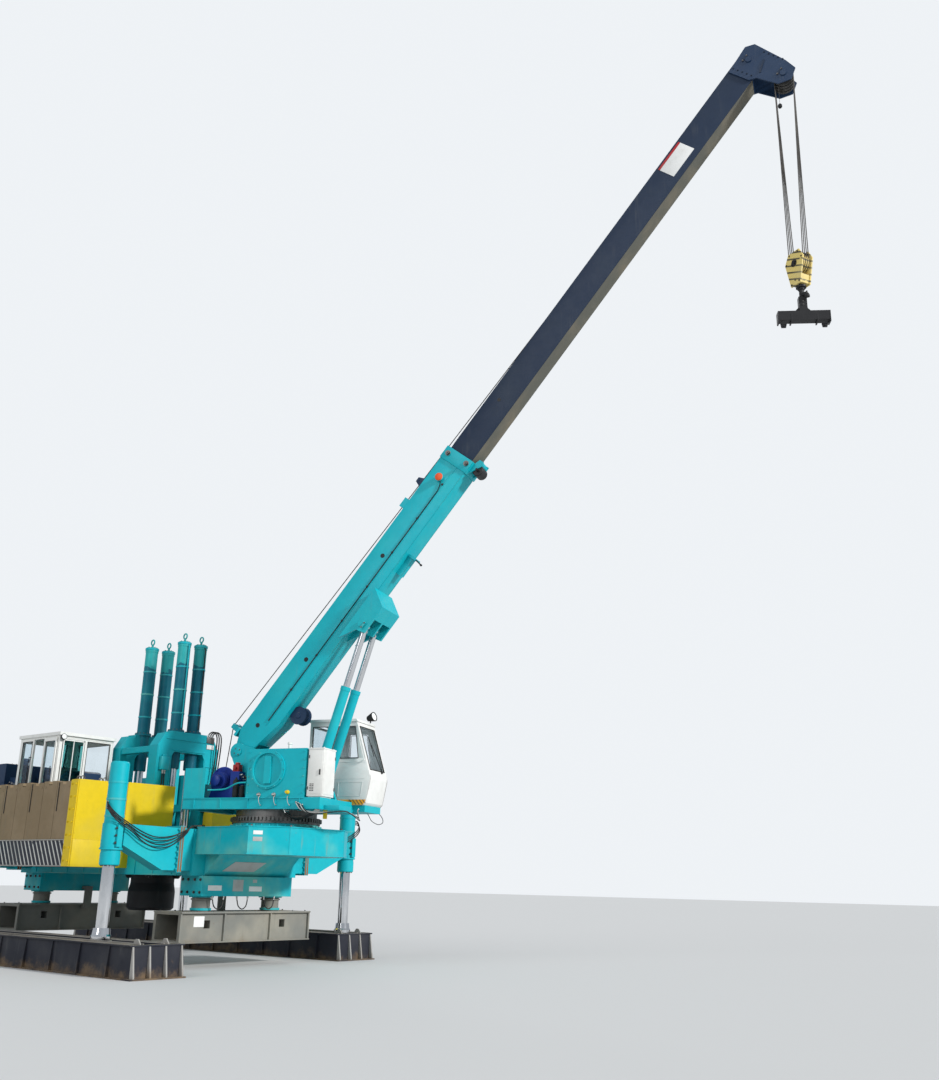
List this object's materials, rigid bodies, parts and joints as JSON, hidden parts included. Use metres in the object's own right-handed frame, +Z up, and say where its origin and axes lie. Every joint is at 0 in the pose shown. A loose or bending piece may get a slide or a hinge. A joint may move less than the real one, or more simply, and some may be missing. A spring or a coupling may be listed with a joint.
{
  "type": "jack-in pile driver rig",
  "caption": "Walking hydraulic jack-in pile driver: long and short shoes, leg jacks, press cylinders with clamp head, ballast, operator cab and a slewing telescopic crane.",
  "frame": {"origin": "on the ground under the press axis, where the pile goes down", "axes": "+X to the crane end, +Y to the machine's left, +Z up"},
  "size_m": [24.4206, 8.5748, 21.5075],
  "materials": {
    "teal": "gloss",
    "navy": "satin",
    "graphite": "matte",
    "chrome": "polished",
    "white": "satin",
    "yellow": "satin",
    "slab": "weathered",
    "steel": "worn",
    "glass": "clear"
  },
  "bodies": {
    "chassis": {"platform": "teal", "pedestal": "teal", "front_arms": "teal", "rear_arms": "teal", "front_leg_barrels": "teal", "rear_leg_barrels": "teal", "press_frame": "teal", "press_barrels": "teal", "rack_right": "navy", "rack_left": "navy", "slabs_right": "slab", "slabs_left": "slab", "yellow_weights": "yellow", "operator_cab": "white", "operator_glass": "glass", "power_pack": "teal", "fluid_tank": "navy", "shoe_carriers": "teal"},
    "right_legs": {"right_jacks": "chrome"},
    "left_legs": {"left_jacks": "chrome"},
    "right_shoe": {"right_long_shoe": "graphite"},
    "left_shoe": {"left_long_shoe": "graphite"},
    "front_short": {"front_short_shoe": "steel"},
    "rear_short": {"rear_short_shoe": "steel"},
    "press_head": {"clamp_head": "graphite", "press_rods": "chrome"},
    "crane": {"crane_deck": "teal", "slewing_ring": "steel", "winch": "navy", "cabinets": "white", "crane_cab": "white", "crane_cab_glass": "glass", "work_lamp": "graphite"},
    "cab_door": {"crane_cab_door": "white"},
    "operator_door": {"operator_cab_door": "white"},
    "boom": {"boom_base": "teal", "boom_fittings": "teal"},
    "boom_tip": {"boom_inner": "navy", "boom_head": "navy", "head_sheaves": "steel"},
    "hook_set": {"rope_falls": "graphite", "hook_block": "yellow", "hook": "graphite"},
    "luff_barrel": {"luff_barrels": "teal"},
    "luff_rod": {"luff_rods": "chrome"}
  },
  "joints": [
    {"name": "crane_slew", "type": "hinge", "parent": "chassis", "child": "crane", "pos_m": [4.45, 0, 2.978], "axis": [0, 0, 1], "continuous": true},
    {"name": "boom_luff", "type": "hinge", "parent": "crane", "child": "boom", "pos_m": [3.55568, -0.30532, 4.723], "axis": [0.3231, -0.9464, 0], "range_deg": [-33.3, 16.5]},
    {"name": "boom_telescope", "type": "slide", "parent": "boom", "child": "boom_tip", "axis": [0.5782, 0.1974, 0.7917], "range_m": [-6.2, 0]},
    {"name": "hook_swing", "type": "hinge", "parent": "boom_tip", "child": "hook_set", "pos_m": [16.20738, 4.01399, 20.49015], "axis": [-0.3231, 0.9464, 0], "range_deg": [-33.3, 16.5]},
    {"name": "luff_barrel_swing", "type": "hinge", "parent": "crane", "child": "luff_barrel", "pos_m": [5.42476, 0.33278, 3.78], "axis": [0.3231, -0.9464, 0], "range_deg": [-33.47, 16.84]},
    {"name": "luff_rod_stroke", "type": "slide", "parent": "luff_barrel", "child": "luff_rod", "axis": [0.2663, 0.0909, 0.9596], "range_m": [-1.277, 0.638]},
    {"name": "right_leg_lift", "type": "slide", "parent": "chassis", "child": "right_legs", "axis": [0, 0, -1], "range_m": [-0.95, 0.1]},
    {"name": "left_leg_lift", "type": "slide", "parent": "chassis", "child": "left_legs", "axis": [0, 0, -1], "range_m": [-0.95, 0.1]},
    {"name": "right_shoe_walk", "type": "slide", "parent": "right_legs", "child": "right_shoe", "axis": [1, 0, 0], "range_m": [-1.52, 2.48]},
    {"name": "left_shoe_walk", "type": "slide", "parent": "left_legs", "child": "left_shoe", "axis": [1, 0, 0], "range_m": [-0.02, 3.98]},
    {"name": "front_short_walk", "type": "slide", "parent": "chassis", "child": "front_short", "axis": [0, 1, 0], "range_m": [-0.35, 0.35]},
    {"name": "rear_short_walk", "type": "slide", "parent": "chassis", "child": "rear_short", "axis": [0, 1, 0], "range_m": [-0.35, 0.35]},
    {"name": "press_stroke", "type": "slide", "parent": "chassis", "child": "press_head", "axis": [0, 0, 1], "range_m": [0, 1.6]},
    {"name": "cab_door_hinge", "type": "hinge", "parent": "crane", "child": "cab_door", "pos_m": [4.76874, 1.83648, 4.46], "axis": [0, 0, 1], "range_deg": [0, 100]},
    {"name": "operator_door_slide", "type": "slide", "parent": "chassis", "child": "operator_door", "axis": [-1, 0, 0], "range_m": [0, 0.53]}
  ],
  "couplings": [
    {"joint": "luff_barrel_swing", "follows": "boom_luff", "ratio": 0.99},
    {"joint": "luff_rod_stroke", "follows": "boom_luff", "m_per_rad": 2.18}
  ]
}
